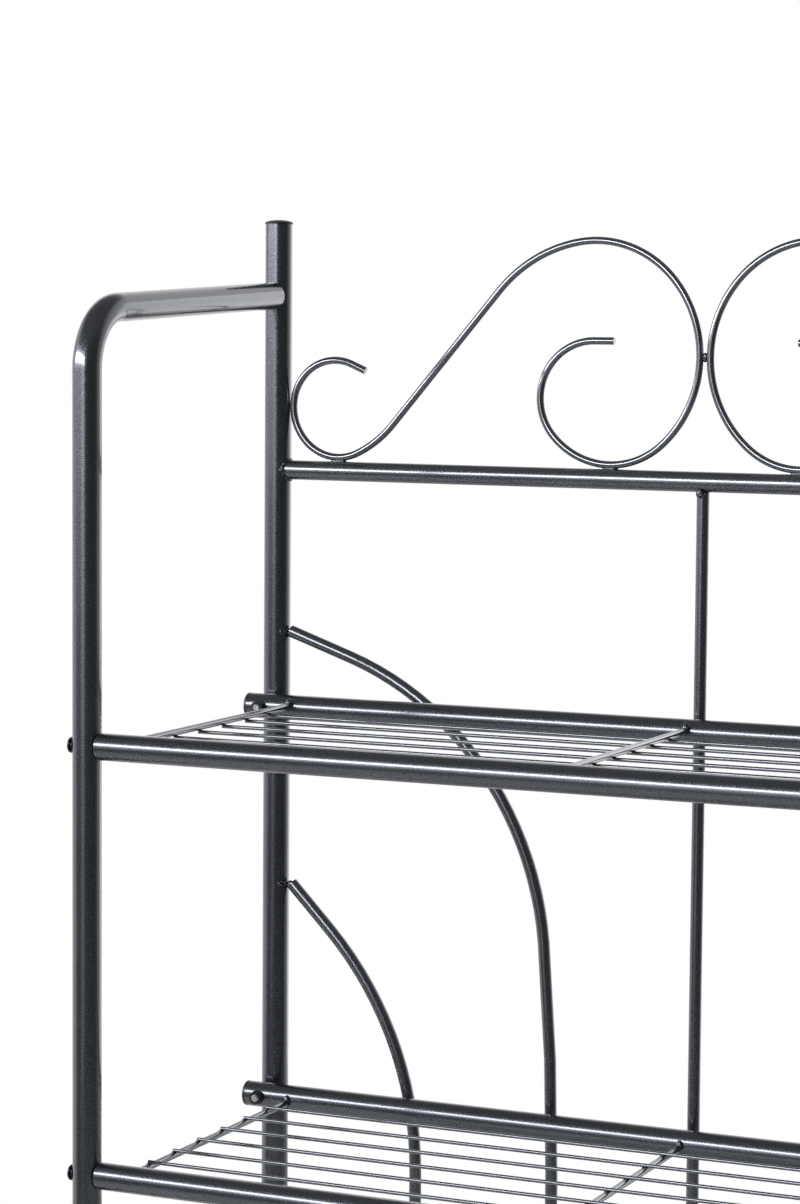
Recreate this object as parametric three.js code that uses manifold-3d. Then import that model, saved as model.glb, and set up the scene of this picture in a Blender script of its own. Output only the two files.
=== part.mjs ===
// A free-standing bakers rack of welded and bolted steel tube. Two side tubes rise as front
// legs, bend back and meet two straight rear posts. A back panel of rods and two S-shaped
// scrolls joins the posts, and four wire shelves bolt between the legs and the posts.
// Millimetres, +Z up. The front looks along -Y, and the origin is on the floor under the
// middle of the rack.

import * as THREE from "three";
import { mergeVertices } from "three/addons/utils/BufferGeometryUtils.js";
import Module from "manifold-3d";

const wasm = await Module();
wasm.setup();

// Layout of the rack
const POST_SPACING = 739; // between the axes of the left and the right tubes
const LEG_TO_POST = 313; // from the axis of a front leg back to its rear post
const SHELF_COUNT = 4;
const LOWEST_SHELF_HEIGHT = 125; // from the floor to the axes of its tubes
const SHELF_PITCH = 324;
const POST_ABOVE_SHELF = 393.5; // from the top shelf to the end of the rear posts
const ARM_ABOVE_SHELF = 335.5; // from the top shelf to the arm, at the rear post
const ARM_RISE_DEGREES = 2.3; // the arm climbs this much towards the back
const TOP_RAIL_ABOVE_SHELF = 193.2;
const BOTTOM_RAIL_HEIGHT = 68;

// Side tubes and rear posts
const TUBE_DIAMETER = 22;
const TUBE_WALL = 1.2;
const ARM_BEND_RADIUS = 46.5;

// Cross rails and rods of the back panel
const RAIL_DIAMETER = 16;
const RAIL_WALL = 1;
const ROD_DIAMETER = 10;
const OUTER_ROD = {
  aboveShelf: 60.5, // start of its axis above the top shelf
  startDegrees: 19.2, // below the horizontal
  straight: 57.5,
  bendRadius: 260,
  bendDegrees: 65.4,
  easeRadius: 2025,
};
const INNER_ROD = {
  aboveShelf: -149,
  startDegrees: 45.6,
  straight: 51,
  bendRadius: 276,
  bendDegrees: 44.4,
  easeRadius: 0,
};

// Scrolls that stand on the top rail. Each is bent from one wire, from its small loop beside
// the post to its big loop in the middle, with a tail at both ends.
const SCROLL_WIRE_DIAMETER = 6;
const SCROLL_MIDDLE_GAP = 2.6; // between the two scrolls
const SMALL_LOOP = {
  tail: 13.5,
  startDegrees: 157, // heading of its tail
  innerRadius: 37.5,
  innerDegrees: 97,
  outerRadius: 40.5,
  outerDegrees: 131,
  exitRadius: 94.5,
  exitDegrees: 24,
};
const BIG_LOOP = {
  startDegrees: 49,
  entryRadius: 114,
  entryDegrees: 39,
  topRadius: 86,
  topDegrees: 61,
  sideRadius: 92.5,
  sideDegrees: 87,
  bottomRadius: 64.5,
  bottomDegrees: 89,
  innerRadius: 45.5,
  innerDegrees: 133,
  tail: 16.5,
};
const LOOP_JOIN_SHARE = 1 / 3; // handles of the curve between the loops, of its length
const LOOP_JOIN_STEPS = 2;

// Shelves
const SHELF_TUBE_DIAMETER = 20.5;
const SHELF_TUBE_WALL = 1;
const REAR_TUBE_OVERHANG = 12.5; // past the axis of the rear post
const FRONT_INSERT_LENGTH = 12; // threaded end of the front tube
const CROSSWIRE_DIAMETER = 5.5;
const CROSSWIRE_COUNT = 3;
const CROSSWIRE_INSET = 27; // outer crosswire from the axis of the post
const CROSSWIRE_DROP = 2.1; // below the axes of the tubes
const LONG_WIRE_DIAMETER = 3;
const LONG_WIRE_COUNT = 6;
const LONG_WIRE_PITCH = 39.5;
const LONG_WIRE_OVERHANG = 0.5; // past the axis of the outer crosswires
const WIRE_WELD_DEPTH = 0.4; // how far crossing wires sink into each other

// Bolts and nuts
const BOLT_DIAMETER = 6;
const BOLT_HEAD_DIAMETER = 12;
const BOLT_HEAD_HEIGHT = 3;
const BOLT_HEAD_RIM = 0.8;
const BOLT_WASHER_DIAMETER = 10;
const BOLT_WASHER_THICKNESS = 0.8;
const BOLT_TIP = 1.2; // past the nut
const BOLT_CHAMFER = 0.8;
const NUT_SIDES = 6;
const NUT_ACROSS_FLATS = 10;
const NUT_THICKNESS = 5;

// Plastic caps, plugs and feet
const CAP_DIAMETER = 23.2;
const CAP_RIM = 0.9; // straight part below the crown
const CAP_CROWN = 2.4;
const PLUG_RIM = 2.5;
const PLUG_CHAMFER = 0.8;
const FOOT_DIAMETER = 24;
const FOOT_RIM = 3.2;
const FOOT_CHAMFER = 1.8;
const SPIGOT_LENGTH = 14;
const PLUG_SPIGOT_LENGTH = 8; // stops short of the rear bolt

// Clearances
const GAP = 0.3; // between pieces that touch on a round face, and round bolts
const SEAT_GAP = 0.1; // between flat faces that touch
const OVERRUN = 5; // how far a cutter runs past what it cuts

// Facets
const TUBE_SIDES = 16;
const ROD_SIDES = 8;
const CROSSWIRE_SIDES = 8;
const LONG_WIRE_SIDES = 6;
const SCROLL_SIDES = 8;
const BOLT_SIDES = 10;
const DOME_STEPS = 2;
const CHORD_ERROR = 0.55; // between a bend and its facets

// Sizes that follow
const FULL_TURN = 2 * Math.PI;
const RIGHT_ANGLE = Math.PI / 2;
const UP = new THREE.Vector3(0, 0, 1);
const TUBE_RADIUS = TUBE_DIAMETER / 2;
const SHELF_TUBE_RADIUS = SHELF_TUBE_DIAMETER / 2;
const HALF_SPACING = POST_SPACING / 2;
const BOLT_HEAD_STACK = BOLT_WASHER_THICKNESS + BOLT_HEAD_HEIGHT;
const REAR_DEPTH = TUBE_RADIUS + GAP + BOLT_HEAD_STACK;
const POST_Y = (LEG_TO_POST + FOOT_DIAMETER / 2 - REAR_DEPTH) / 2;
const LEG_Y = POST_Y - LEG_TO_POST;
const REAR_TUBE_Y = POST_Y - TUBE_RADIUS - GAP - SHELF_TUBE_RADIUS;
const TOP_SHELF_HEIGHT = shelfHeight(SHELF_COUNT - 1);
const TOP_RAIL_HEIGHT = TOP_SHELF_HEIGHT + TOP_RAIL_ABOVE_SHELF;
const TUBE_START = FOOT_RIM + SEAT_GAP;

function shelfHeight(index) {
  return LOWEST_SHELF_HEIGHT + index * SHELF_PITCH;
}

// Finishes
function paintedSteel() {
  return new THREE.MeshStandardMaterial({ color: 0x3a3d42, roughness: 0.34, metalness: 0.8 });
}

function blackPlastic() {
  return new THREE.MeshStandardMaterial({ color: 0x161617, roughness: 0.5, metalness: 0 });
}

function blackenedSteel() {
  return new THREE.MeshStandardMaterial({ color: 0x1f2022, roughness: 0.4, metalness: 0.7 });
}

// Sections
function circlePoints(radius, sides) {
  return Array.from({ length: sides }, (_, index) => {
    const angle = (index / sides) * FULL_TURN;
    return new THREE.Vector2(radius * Math.cos(angle), radius * Math.sin(angle));
  });
}

function disc(radius, sides) {
  return new THREE.Shape(circlePoints(radius, sides));
}

function ring(radius, wall, sides) {
  const section = disc(radius, sides);
  section.holes.push(new THREE.Path(circlePoints(radius - wall, sides)));
  return section;
}

// The largest round piece that passes a faceted bore
function insideBore(radius, sides) {
  return radius * Math.cos(Math.PI / sides) - GAP;
}

// Closed solids for cutting and joining
function solidOf(geometry) {
  const bare = geometry.clone();
  bare.deleteAttribute("normal");
  bare.deleteAttribute("uv");
  const merged = mergeVertices(bare);
  const corners = [];
  const index = merged.index.array;
  for (let i = 0; i < index.length; i += 3) {
    const [a, b, c] = index.slice(i, i + 3);
    if (a !== b && b !== c && c !== a) corners.push(a, b, c);
  }
  return new wasm.Manifold(
    new wasm.Mesh({
      numProp: 3,
      vertProperties: merged.attributes.position.array,
      triVerts: new Uint32Array(corners),
    }),
  );
}

function geometryOf(solid) {
  const { vertProperties, triVerts } = solid.getMesh();
  const geometry = new THREE.BufferGeometry();
  geometry.setAttribute("position", new THREE.BufferAttribute(vertProperties, 3));
  geometry.setIndex(new THREE.BufferAttribute(triVerts, 1));
  geometry.computeVertexNormals();
  return geometry;
}

// Straight stock between two points
function bar(section, from, to) {
  const run = to.clone().sub(from);
  const geometry = new THREE.ExtrudeGeometry(section, { depth: run.length(), bevelEnabled: false });
  geometry.applyQuaternion(new THREE.Quaternion().setFromUnitVectors(UP, run.normalize()));
  geometry.translate(from.x, from.y, from.z);
  return solidOf(geometry);
}

function along(axis, distance) {
  return new THREE.Vector3().setComponent("xyz".indexOf(axis), distance);
}

// A straight piece centred on the origin, along one axis
function centredBar(section, axis, length) {
  return bar(section, along(axis, -length / 2), along(axis, length / 2));
}

// A cylinder that cuts through a tube, across it
function drill(axis, radius, sides, centre) {
  const reach = along(axis, TUBE_DIAMETER + OVERRUN);
  return bar(disc(radius, sides), centre.clone().sub(reach), centre.clone().add(reach));
}

// A bent piece is fed forwards like stock through a bender. It stays in one plane, where u
// runs across and z runs up, and each station keeps its place and its heading.
class BentPath {
  constructor(u, z, heading) {
    this.stations = [];
    this.moveTo(u, z, heading);
  }

  moveTo(u, z, heading) {
    this.u = u;
    this.z = z;
    this.heading = heading;
    this.stations.push({ u, z, heading });
    return this;
  }

  straight(length) {
    const u = this.u + length * Math.cos(this.heading);
    const z = this.z + length * Math.sin(this.heading);
    return this.moveTo(u, z, this.heading);
  }

  // A positive angle turns to the left
  turn(radius, angle) {
    const side = Math.sign(angle);
    const centreU = this.u - side * radius * Math.sin(this.heading);
    const centreZ = this.z + side * radius * Math.cos(this.heading);
    const largestStep = 2 * Math.acos(1 - CHORD_ERROR / radius);
    const steps = Math.ceil(Math.abs(angle) / largestStep);
    const start = this.heading;
    for (let step = 1; step <= steps; step += 1) {
      const heading = start + (angle * step) / steps;
      const u = centreU + side * radius * Math.sin(heading);
      const z = centreZ - side * radius * Math.cos(heading);
      this.moveTo(u, z, heading);
    }
    return this;
  }

  // A smooth curve to another place and heading, with a handle of this reach at each end
  curveTo(u, z, heading, reach, steps) {
    const from = new THREE.Vector2(this.u, this.z);
    const to = new THREE.Vector2(u, z);
    const out = new THREE.Vector2(Math.cos(this.heading), Math.sin(this.heading));
    const into = new THREE.Vector2(Math.cos(heading), Math.sin(heading));
    const curve = new THREE.CubicBezierCurve(
      from,
      from.clone().addScaledVector(out, reach),
      to.clone().addScaledVector(into, -reach),
      to,
    );
    for (let step = 1; step <= steps; step += 1) {
      const point = curve.getPoint(step / steps);
      const tangent = curve.getTangent(step / steps);
      this.moveTo(point.x, point.y, Math.atan2(tangent.y, tangent.x));
    }
    return this;
  }

  straightDownTo(z) {
    return this.straight(this.z - z);
  }

  turnDegrees(radius, degrees) {
    return this.turn(radius, THREE.MathUtils.degToRad(degrees));
  }

  // Moves the whole path until its lowest station is at this height and its outermost one
  // at this place across. Math.min or Math.max says which side is outermost.
  settle(outermost, u, z) {
    const acrossBy = u - outermost(...this.stations.map((station) => station.u));
    const upBy = z - Math.min(...this.stations.map((station) => station.z));
    for (const station of this.stations) {
      station.u += acrossBy;
      station.z += upBy;
    }
    this.u += acrossBy;
    this.z += upBy;
    return this;
  }

  // Joins another path to this one with a smooth curve
  join(other, handleShare, steps) {
    const [first, ...others] = other.stations;
    const reach = handleShare * Math.hypot(first.u - this.u, first.z - this.z);
    this.curveTo(first.u, first.z, first.heading, reach, steps);
    for (const { u, z, heading } of others) this.moveTo(u, z, heading);
    return this;
  }
}

// The same path in space, with one ring of the extrusion at each station
class StationCurve extends THREE.Curve {
  constructor(path, origin, across) {
    super();
    this.places = path.stations.map(({ u, z }) =>
      origin.clone().addScaledVector(across, u).addScaledVector(UP, z),
    );
    this.tangents = path.stations.map(({ heading }) =>
      new THREE.Vector3()
        .addScaledVector(across, Math.cos(heading))
        .addScaledVector(UP, Math.sin(heading)),
    );
  }

  getPointAt(share, target = new THREE.Vector3()) {
    return target.copy(this.places[Math.round(share * (this.places.length - 1))]);
  }

  getTangentAt(share, target = new THREE.Vector3()) {
    return target.copy(this.tangents[Math.round(share * (this.tangents.length - 1))]);
  }
}

function sweep(section, path, origin, across) {
  const extrudePath = new StationCurve(path, origin, across);
  return new THREE.ExtrudeGeometry(section, { steps: path.stations.length - 1, extrudePath });
}

// A turned piece, given as pairs of radius and height from its outer to its inner end
function turned(profile, sides) {
  const points = profile.map(([radius, height]) => new THREE.Vector2(radius, height));
  return new THREE.LatheGeometry(points, sides).rotateX(RIGHT_ANGLE);
}

// Points of a dome that bulges towards -Z, from its middle to its rim
function dome(radius, rimHeight, crown) {
  return Array.from({ length: DOME_STEPS + 1 }, (_, step) => {
    const angle = (step / DOME_STEPS) * RIGHT_ANGLE;
    return [radius * Math.sin(angle), rimHeight - crown * Math.cos(angle)];
  });
}

// Points of a flat face with a chamfered edge
function flatFace(radius, thickness, chamfer) {
  return [
    [0, -thickness],
    [radius - chamfer, -thickness],
    [radius, chamfer - thickness],
  ];
}

// A push-in plug: its outer face, then a rim that rests on the tube and a spigot inside it
function plug(outerFace, tubeRadius, wall, spigotLength) {
  const spigot = insideBore(tubeRadius - wall, TUBE_SIDES);
  return turned(
    [
      ...outerFace,
      [outerFace.at(-1)[0], 0],
      [spigot, 0],
      [spigot, spigotLength],
      [0, spigotLength],
    ],
    TUBE_SIDES,
  );
}

function postCap() {
  const face = dome(CAP_DIAMETER / 2, -CAP_RIM, CAP_CROWN);
  return plug(face, TUBE_RADIUS, TUBE_WALL, SPIGOT_LENGTH);
}

function endPlug() {
  const face = flatFace(SHELF_TUBE_RADIUS, PLUG_RIM, PLUG_CHAMFER);
  return plug(face, SHELF_TUBE_RADIUS, SHELF_TUBE_WALL, PLUG_SPIGOT_LENGTH);
}

function foot() {
  const face = flatFace(FOOT_DIAMETER / 2, FOOT_RIM, FOOT_CHAMFER);
  return plug(face, TUBE_RADIUS, TUBE_WALL, SPIGOT_LENGTH);
}

// A domed bolt with its washer. The washer's inner face is at the origin, and the shank
// runs along +Z.
function bolt(length) {
  const shank = BOLT_DIAMETER / 2;
  return turned(
    [
      ...dome(
        BOLT_HEAD_DIAMETER / 2,
        -BOLT_WASHER_THICKNESS - BOLT_HEAD_RIM,
        BOLT_HEAD_HEIGHT - BOLT_HEAD_RIM,
      ),
      [BOLT_HEAD_DIAMETER / 2, -BOLT_WASHER_THICKNESS],
      [BOLT_WASHER_DIAMETER / 2, -BOLT_WASHER_THICKNESS],
      [BOLT_WASHER_DIAMETER / 2, 0],
      [shank, 0],
      [shank, length - BOLT_CHAMFER],
      [shank - BOLT_CHAMFER, length],
      [0, length],
    ],
    BOLT_SIDES,
  );
}

function frontBolt() {
  return bolt(GAP + TUBE_DIAMETER + GAP + FRONT_INSERT_LENGTH);
}

// The rear bolt runs through post and shelf tube, and carries its nut
function rearBolt() {
  const nutStart = GAP + TUBE_DIAMETER + GAP + SHELF_TUBE_DIAMETER + GAP;
  const nutEnd = nutStart + NUT_THICKNESS;
  const corner = NUT_ACROSS_FLATS / 2 / Math.cos(Math.PI / NUT_SIDES);
  const nut = bar(disc(corner, NUT_SIDES), along("z", nutStart), along("z", nutEnd));
  return geometryOf(solidOf(bolt(nutEnd + BOLT_TIP)).add(nut));
}

// A front leg, its bend and the arm that meets the post. The leg's axis stands at the
// origin, and the post's at LEG_TO_POST along +Y.
function sideTube() {
  const rise = THREE.MathUtils.degToRad(ARM_RISE_DEGREES);
  const armRun = LEG_TO_POST - ARM_BEND_RADIUS * (1 - Math.sin(rise));
  const armStart = TOP_SHELF_HEIGHT + ARM_ABOVE_SHELF - armRun * Math.tan(rise);
  const bendStart = armStart - ARM_BEND_RADIUS * Math.cos(rise);
  const path = new BentPath(0, TUBE_START, RIGHT_ANGLE)
    .straight(bendStart - TUBE_START)
    .turn(ARM_BEND_RADIUS, rise - RIGHT_ANGLE)
    .straight(armRun / Math.cos(rise));
  const section = ring(TUBE_RADIUS, TUBE_WALL, TUBE_SIDES);
  const tube = solidOf(sweep(section, path, new THREE.Vector3(), along("y", 1)));
  const cope = postCutter().translate([0, LEG_TO_POST, 0]);
  return geometryOf(drillAtShelves(tube.subtract(cope), "x"));
}

function rearPost() {
  const section = ring(TUBE_RADIUS, TUBE_WALL, TUBE_SIDES);
  const top = TOP_SHELF_HEIGHT + POST_ABOVE_SHELF;
  return geometryOf(drillAtShelves(bar(section, along("z", TUBE_START), along("z", top)), "y"));
}

// The space that a post takes, which whatever meets it is cut to
function postCutter() {
  const section = disc(TUBE_RADIUS + GAP, TUBE_SIDES);
  const top = TOP_SHELF_HEIGHT + POST_ABOVE_SHELF;
  return bar(section, along("z", 0), along("z", top));
}

function drillAtShelves(tube, axis) {
  let drilled = tube;
  for (let index = 0; index < SHELF_COUNT; index += 1) {
    const centre = along("z", shelfHeight(index));
    drilled = drilled.subtract(drill(axis, BOLT_DIAMETER / 2 + GAP, BOLT_SIDES, centre));
  }
  return drilled;
}

// A cross tube of the back panel, coped to both posts
function rail(height) {
  const section = ring(RAIL_DIAMETER / 2, RAIL_WALL, TUBE_SIDES);
  const tube = centredBar(section, "x", POST_SPACING).translate([0, 0, height]);
  return geometryOf(
    tube
      .subtract(postCutter().translate([-HALF_SPACING, 0, 0]))
      .subtract(postCutter().translate([HALF_SPACING, 0, 0])),
  );
}

function aboveRail(railHeight) {
  return railHeight + RAIL_DIAMETER / 2 + GAP;
}

function centreRod() {
  const top = TOP_RAIL_HEIGHT - RAIL_DIAMETER / 2 - GAP;
  const bottom = aboveRail(BOTTOM_RAIL_HEIGHT);
  const section = disc(ROD_DIAMETER / 2, ROD_SIDES);
  return geometryOf(bar(section, along("z", bottom), along("z", top)));
}

// A rod that leaves the post with a square-cut end, bends down and stands on the bottom rail
function curvedRod(size, origin, across) {
  const start = THREE.MathUtils.degToRad(size.startDegrees);
  const bend = THREE.MathUtils.degToRad(size.bendDegrees);
  const fromPost = TUBE_RADIUS + GAP + (ROD_DIAMETER / 2) * Math.sin(start);
  const path = new BentPath(fromPost, TOP_SHELF_HEIGHT + size.aboveShelf, -start)
    .straight(size.straight)
    .turn(size.bendRadius, -bend);
  const left = RIGHT_ANGLE - start - bend;
  if (size.easeRadius > 0) path.turn(size.easeRadius, -left);
  path.straightDownTo(aboveRail(BOTTOM_RAIL_HEIGHT));
  return sweep(disc(ROD_DIAMETER / 2, ROD_SIDES), path, origin, across);
}

// One scroll. Its loops stand on the rail, the small one beside the post and the big one
// beside the other scroll, and the wire runs on from one to the other.
function scroll(origin, across) {
  const wireRadius = SCROLL_WIRE_DIAMETER / 2;
  const base = aboveRail(TOP_RAIL_HEIGHT) + wireRadius;
  const besidePost = TUBE_RADIUS + GAP + wireRadius;
  const besideMiddle = HALF_SPACING - SCROLL_MIDDLE_GAP / 2 - wireRadius;
  const smallLoop = new BentPath(0, 0, THREE.MathUtils.degToRad(SMALL_LOOP.startDegrees))
    .straight(SMALL_LOOP.tail)
    .turnDegrees(SMALL_LOOP.innerRadius, SMALL_LOOP.innerDegrees)
    .turnDegrees(SMALL_LOOP.outerRadius, SMALL_LOOP.outerDegrees)
    .turnDegrees(SMALL_LOOP.exitRadius, SMALL_LOOP.exitDegrees)
    .settle(Math.min, besidePost, base);
  const bigLoop = new BentPath(0, 0, THREE.MathUtils.degToRad(BIG_LOOP.startDegrees))
    .turnDegrees(BIG_LOOP.entryRadius, -BIG_LOOP.entryDegrees)
    .turnDegrees(BIG_LOOP.topRadius, -BIG_LOOP.topDegrees)
    .turnDegrees(BIG_LOOP.sideRadius, -BIG_LOOP.sideDegrees)
    .turnDegrees(BIG_LOOP.bottomRadius, -BIG_LOOP.bottomDegrees)
    .turnDegrees(BIG_LOOP.innerRadius, -BIG_LOOP.innerDegrees)
    .straight(BIG_LOOP.tail)
    .settle(Math.max, besideMiddle, base);
  const path = smallLoop.join(bigLoop, LOOP_JOIN_SHARE, LOOP_JOIN_STEPS);
  return sweep(disc(wireRadius, SCROLL_SIDES), path, origin, across);
}

// The front tube ends flat against the legs and takes a bolt in each threaded end
function shelfFrontTube() {
  const length = POST_SPACING - TUBE_DIAMETER - 2 * GAP;
  const outside = disc(SHELF_TUBE_RADIUS, TUBE_SIDES);
  const bore = disc(SHELF_TUBE_RADIUS - SHELF_TUBE_WALL, TUBE_SIDES);
  const thread = disc(BOLT_DIAMETER / 2 + GAP, BOLT_SIDES);
  return geometryOf(
    centredBar(outside, "x", length)
      .subtract(centredBar(bore, "x", length - 2 * FRONT_INSERT_LENGTH))
      .subtract(centredBar(thread, "x", length + OVERRUN)),
  );
}

// The rear tube passes in front of the posts, where a bolt runs through both
function shelfRearTube() {
  const section = ring(SHELF_TUBE_RADIUS, SHELF_TUBE_WALL, TUBE_SIDES);
  let tube = centredBar(section, "x", POST_SPACING + 2 * REAR_TUBE_OVERHANG);
  for (const side of [-1, 1]) {
    const centre = along("x", side * HALF_SPACING);
    tube = tube.subtract(drill("y", BOLT_DIAMETER / 2 + GAP, BOLT_SIDES, centre));
  }
  return geometryOf(tube);
}

// The welded wires: crosswires from tube to tube, and long wires on top of them
function shelfWires() {
  const span = REAR_TUBE_Y - LEG_Y - SHELF_TUBE_DIAMETER - 2 * GAP;
  const middleY = (REAR_TUBE_Y + LEG_Y) / 2;
  const outerX = HALF_SPACING - CROSSWIRE_INSET;
  const longLength = 2 * (outerX + LONG_WIRE_OVERHANG);
  const longRise = (CROSSWIRE_DIAMETER + LONG_WIRE_DIAMETER) / 2 - WIRE_WELD_DEPTH;
  const wires = [];
  for (let index = 0; index < CROSSWIRE_COUNT; index += 1) {
    const x = outerX * ((2 * index) / (CROSSWIRE_COUNT - 1) - 1);
    const wire = centredBar(disc(CROSSWIRE_DIAMETER / 2, CROSSWIRE_SIDES), "y", span);
    wires.push(wire.translate([x, middleY, -CROSSWIRE_DROP]));
  }
  for (let index = 0; index < LONG_WIRE_COUNT; index += 1) {
    const y = middleY + (index - (LONG_WIRE_COUNT - 1) / 2) * LONG_WIRE_PITCH;
    const wire = centredBar(disc(LONG_WIRE_DIAMETER / 2, LONG_WIRE_SIDES), "x", longLength);
    wires.push(wire.translate([0, y, longRise - CROSSWIRE_DROP]));
  }
  return geometryOf(wires.reduce((joined, wire) => joined.add(wire)));
}

// Placing
function put(parent, name, geometry, material, x, y, z) {
  const mesh = new THREE.Mesh(geometry, material);
  mesh.name = name;
  mesh.position.set(x, y, z);
  parent.add(mesh);
  return mesh;
}

const SIDES = [
  { side: "left", sign: -1 },
  { side: "right", sign: 1 },
];

// One side of the rack: the bent tube, the rear post, the cap and the two feet
function addSide(rack, { side, sign }) {
  const group = new THREE.Group();
  group.position.x = sign * HALF_SPACING;
  rack.add(group);
  const capHeight = TOP_SHELF_HEIGHT + POST_ABOVE_SHELF + SEAT_GAP;
  put(group, `side_tube_${side}`, sideTube(), paintedSteel(), 0, LEG_Y, 0);
  put(group, `rear_post_${side}`, rearPost(), paintedSteel(), 0, POST_Y, 0);
  const cap = put(group, `post_cap_${side}`, postCap(), blackPlastic(), 0, POST_Y, capHeight);
  cap.rotation.x = Math.PI;
  put(group, `foot_front_${side}`, foot(), blackPlastic(), 0, LEG_Y, FOOT_RIM);
  put(group, `foot_rear_${side}`, foot(), blackPlastic(), 0, POST_Y, FOOT_RIM);
}

// The back panel, in the plane of the rear posts
function addBackPanel(rack) {
  const group = new THREE.Group();
  group.position.y = POST_Y;
  rack.add(group);
  put(group, "top_rail", rail(TOP_RAIL_HEIGHT), paintedSteel(), 0, 0, 0);
  put(group, "bottom_rail", rail(BOTTOM_RAIL_HEIGHT), paintedSteel(), 0, 0, 0);
  put(group, "centre_rod", centreRod(), paintedSteel(), 0, 0, 0);
  for (const { side, sign } of SIDES) {
    const origin = along("x", sign * HALF_SPACING);
    const inwards = along("x", -sign);
    const outer = curvedRod(OUTER_ROD, origin, inwards);
    const inner = curvedRod(INNER_ROD, origin, inwards);
    put(group, `outer_rod_${side}`, outer, paintedSteel(), 0, 0, 0);
    put(group, `inner_rod_${side}`, inner, paintedSteel(), 0, 0, 0);
    put(group, `scroll_${side}`, scroll(origin, inwards), paintedSteel(), 0, 0, 0);
  }
}

// One shelf with its plugs and bolts. The top shelf is fitted with its long wires below.
function addShelf(rack, index) {
  const group = new THREE.Group();
  group.position.z = shelfHeight(index);
  rack.add(group);
  const name = `shelf_${index + 1}`;
  const wiresBelow = index === SHELF_COUNT - 1;
  put(group, `${name}_front_tube`, shelfFrontTube(), paintedSteel(), 0, LEG_Y, 0);
  put(group, `${name}_rear_tube`, shelfRearTube(), paintedSteel(), 0, REAR_TUBE_Y, 0);
  const wires = put(group, `${name}_wires`, shelfWires(), paintedSteel(), 0, 0, 0);
  wires.rotation.y = wiresBelow ? Math.PI : 0;
  for (const { side, sign } of SIDES) {
    const plugX = sign * (HALF_SPACING + REAR_TUBE_OVERHANG + SEAT_GAP);
    const headX = sign * (HALF_SPACING + TUBE_RADIUS + GAP);
    const headY = POST_Y + TUBE_RADIUS + GAP;
    const rearX = sign * HALF_SPACING;
    const inwards = -sign * RIGHT_ANGLE;
    const cap = put(group, `${name}_plug_${side}`, endPlug(), blackPlastic(), plugX, REAR_TUBE_Y, 0);
    cap.rotation.y = inwards;
    const front = `${name}_front_bolt_${side}`;
    put(group, front, frontBolt(), blackenedSteel(), headX, LEG_Y, 0).rotation.y = inwards;
    const rear = `${name}_rear_bolt_${side}`;
    put(group, rear, rearBolt(), blackenedSteel(), rearX, headY, 0).rotation.x = RIGHT_ANGLE;
  }
}

const rack = new THREE.Group();
for (const side of SIDES) addSide(rack, side);
addBackPanel(rack);
for (let index = 0; index < SHELF_COUNT; index += 1) addShelf(rack, index);

export default rack;
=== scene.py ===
"""A bakers rack of coated steel tube, with its scrolls, wire shelves, welds and bolts, in a plain studio."""

import math

import bpy
from bpy.props import FloatProperty, FloatVectorProperty, IntProperty, PointerProperty
from mathutils import Matrix, Quaternion, Vector


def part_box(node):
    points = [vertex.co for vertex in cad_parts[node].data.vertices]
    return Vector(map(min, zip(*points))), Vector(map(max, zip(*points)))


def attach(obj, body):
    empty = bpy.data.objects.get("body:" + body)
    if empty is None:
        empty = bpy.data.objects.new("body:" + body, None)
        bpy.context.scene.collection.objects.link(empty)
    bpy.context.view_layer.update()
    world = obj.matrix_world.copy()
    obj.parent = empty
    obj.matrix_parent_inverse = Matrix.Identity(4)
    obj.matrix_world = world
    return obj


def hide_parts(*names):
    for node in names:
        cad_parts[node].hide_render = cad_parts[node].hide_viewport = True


bl_info = {
    "name": "Bakers Rack",
    "version": (1, 0, 0),
    "blender": (4, 5, 0),
    "location": "View3D > Sidebar > Rack",
    "description": "Makes the tubes, rods, scrolls, wire shelves, bolts and welds of a bakers rack",
    "category": "Object",
}

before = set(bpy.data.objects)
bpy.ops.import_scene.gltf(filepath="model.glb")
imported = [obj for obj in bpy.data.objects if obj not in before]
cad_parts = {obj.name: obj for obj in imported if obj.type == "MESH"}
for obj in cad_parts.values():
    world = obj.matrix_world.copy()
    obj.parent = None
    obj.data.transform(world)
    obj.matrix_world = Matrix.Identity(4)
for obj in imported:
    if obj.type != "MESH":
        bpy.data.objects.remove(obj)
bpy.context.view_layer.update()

# Directions
ACROSS = Vector((1, 0, 0))
BACK = Vector((0, 1, 0))
UP = Vector((0, 0, 1))
SIDES = {"left": -1, "right": 1}
MIRRORED = Vector((-1, 1, 1))

# Names
BODY = "root"
SHELVES = sorted(name[: -len("_wires")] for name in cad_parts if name.endswith("_wires"))
LOWEST_SHELF = SHELVES[0]
TOP_SHELF = SHELVES[-1]


# Places that the frame gives
def middle(node):
    low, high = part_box(node)
    return (low + high) / 2


def extent(node):
    low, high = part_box(node)
    return high - low


POST = middle("rear_post_left")
HALF_SPACING = -POST.x
LEG_Y = middle("foot_front_left").y
REAR_TUBE_Y = middle(f"{TOP_SHELF}_rear_tube").y
TUBE_RADIUS = extent("rear_post_left").x / 2
TUBE_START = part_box("rear_post_left")[0].z
SHELF_TUBE_RADIUS = extent(f"{TOP_SHELF}_front_tube").z / 2
RAIL_RADIUS = extent("top_rail").z / 2
ROD_RADIUS = extent("centre_rod").x / 2
SCROLL_RADIUS = extent("scroll_left").y / 2
TOP_RAIL_Z = middle("top_rail").z
BOTTOM_RAIL_Z = middle("bottom_rail").z
SHELF_HEIGHTS = {name: middle(f"{name}_front_tube").z for name in SHELVES}
TOP_SHELF_Z = SHELF_HEIGHTS[TOP_SHELF]


# Settings
def length(name, description, default):
    return FloatProperty(name=name, description=description, default=default, unit="LENGTH")


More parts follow.
